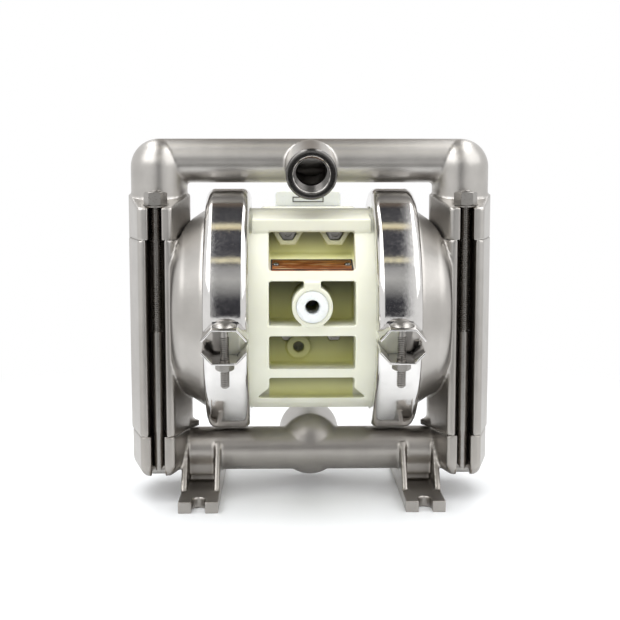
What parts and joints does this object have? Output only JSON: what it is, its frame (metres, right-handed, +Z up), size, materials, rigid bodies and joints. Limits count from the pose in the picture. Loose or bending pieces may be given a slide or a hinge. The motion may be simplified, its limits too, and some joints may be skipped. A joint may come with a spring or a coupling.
{
  "type": "air operated diaphragm pump",
  "caption": "Clamped stainless air operated double diaphragm pump with an arched discharge manifold, V-band clamps, a ribbed plastic centre block and slotted feet.",
  "frame": {"origin": "floor level, at the middle of the pump's box seen from above, between the feet", "axes": "+X to the right along the diaphragm shaft, -Y to the front with the discharge outlet, +Z up"},
  "size_m": [0.2652, 0.2174, 0.2615],
  "materials": {
    "cast_stainless": "satin",
    "polished_stainless": "polished",
    "bolt_stainless": "satin",
    "ivory_polypropylene": "satin",
    "white_nylon": "satin",
    "diaphragm_rubber": "matte",
    "ptfe": "satin",
    "turned_stainless": "satin",
    "label_foil": "polished",
    "gasket_rubber": "matte"
  },
  "bodies": {
    "casing": {"discharge_manifold": "cast_stainless", "inlet_manifold": "cast_stainless", "left_liquid_chamber": "cast_stainless", "right_liquid_chamber": "cast_stainless", "left_clamp_upper": "polished_stainless", "right_clamp_upper": "polished_stainless", "left_clamp_lower": "polished_stainless", "right_clamp_lower": "polished_stainless", "clamp_bolts": "bolt_stainless", "clamp_nuts": "bolt_stainless", "manifold_bolts": "bolt_stainless", "manifold_nuts": "bolt_stainless", "manifold_washers": "bolt_stainless", "center_section": "ivory_polypropylene", "air_inlet_bushing": "white_nylon", "label_plate": "label_foil", "label_screws": "bolt_stainless", "shaft_bushings": "ptfe", "shaft_seals": "ptfe", "pilot_sleeve": "turned_stainless", "inlet_seats": "turned_stainless", "discharge_seats": "turned_stainless", "seat_o_rings": "ptfe", "muffler_plate_gasket": "gasket_rubber", "muffler_plate": "ivory_polypropylene", "air_valve_gasket": "gasket_rubber", "air_valve_body": "white_nylon", "air_valve_lower_cap": "white_nylon", "air_valve_upper_cap": "white_nylon", "end_cap_o_rings": "gasket_rubber", "end_cap_retaining_rings": "turned_stainless", "air_valve_screws": "bolt_stainless", "air_valve_nuts": "bolt_stainless"},
    "shaft": {"diaphragm_shaft": "turned_stainless", "left_diaphragm": "diaphragm_rubber", "right_diaphragm": "diaphragm_rubber", "left_outer_piston": "turned_stainless", "right_outer_piston": "turned_stainless", "left_inner_piston": "turned_stainless", "right_inner_piston": "turned_stainless", "left_disc_spring": "turned_stainless", "right_disc_spring": "turned_stainless"},
    "pilot_spool": {"pilot_spool": "turned_stainless"},
    "air_valve_spool": {"air_valve_spool": "white_nylon"},
    "left_inlet_ball": {"left_inlet_ball": "ptfe"},
    "right_inlet_ball": {"right_inlet_ball": "ptfe"},
    "left_discharge_ball": {"left_discharge_ball": "ptfe"},
    "right_discharge_ball": {"right_discharge_ball": "ptfe"}
  },
  "joints": [
    {"name": "shaft_slide", "type": "slide", "parent": "casing", "child": "shaft", "axis": [1, 0, 0], "range_m": [-0.009, 0.009], "deforming": ["left_diaphragm", "right_diaphragm"]},
    {"name": "pilot_slide", "type": "slide", "parent": "casing", "child": "pilot_spool", "axis": [1, 0, 0], "range_m": [-0.0035, 0.0035]},
    {"name": "air_valve_slide", "type": "slide", "parent": "casing", "child": "air_valve_spool", "axis": [0, 0, 1], "range_m": [0, 0.008]},
    {"name": "left_inlet_ball_lift", "type": "slide", "parent": "casing", "child": "left_inlet_ball", "axis": [0, 0, 1], "range_m": [0, 0.006]},
    {"name": "right_inlet_ball_lift", "type": "slide", "parent": "casing", "child": "right_inlet_ball", "axis": [0, 0, 1], "range_m": [0, 0.006]},
    {"name": "left_discharge_ball_lift", "type": "slide", "parent": "casing", "child": "left_discharge_ball", "axis": [0, 0, 1], "range_m": [0, 0.006]},
    {"name": "right_discharge_ball_lift", "type": "slide", "parent": "casing", "child": "right_discharge_ball", "axis": [0, 0, 1], "range_m": [0, 0.006]}
  ],
  "couplings": [
    {"joint": "pilot_slide", "follows": "shaft_slide", "ratio": 0.38}
  ]
}
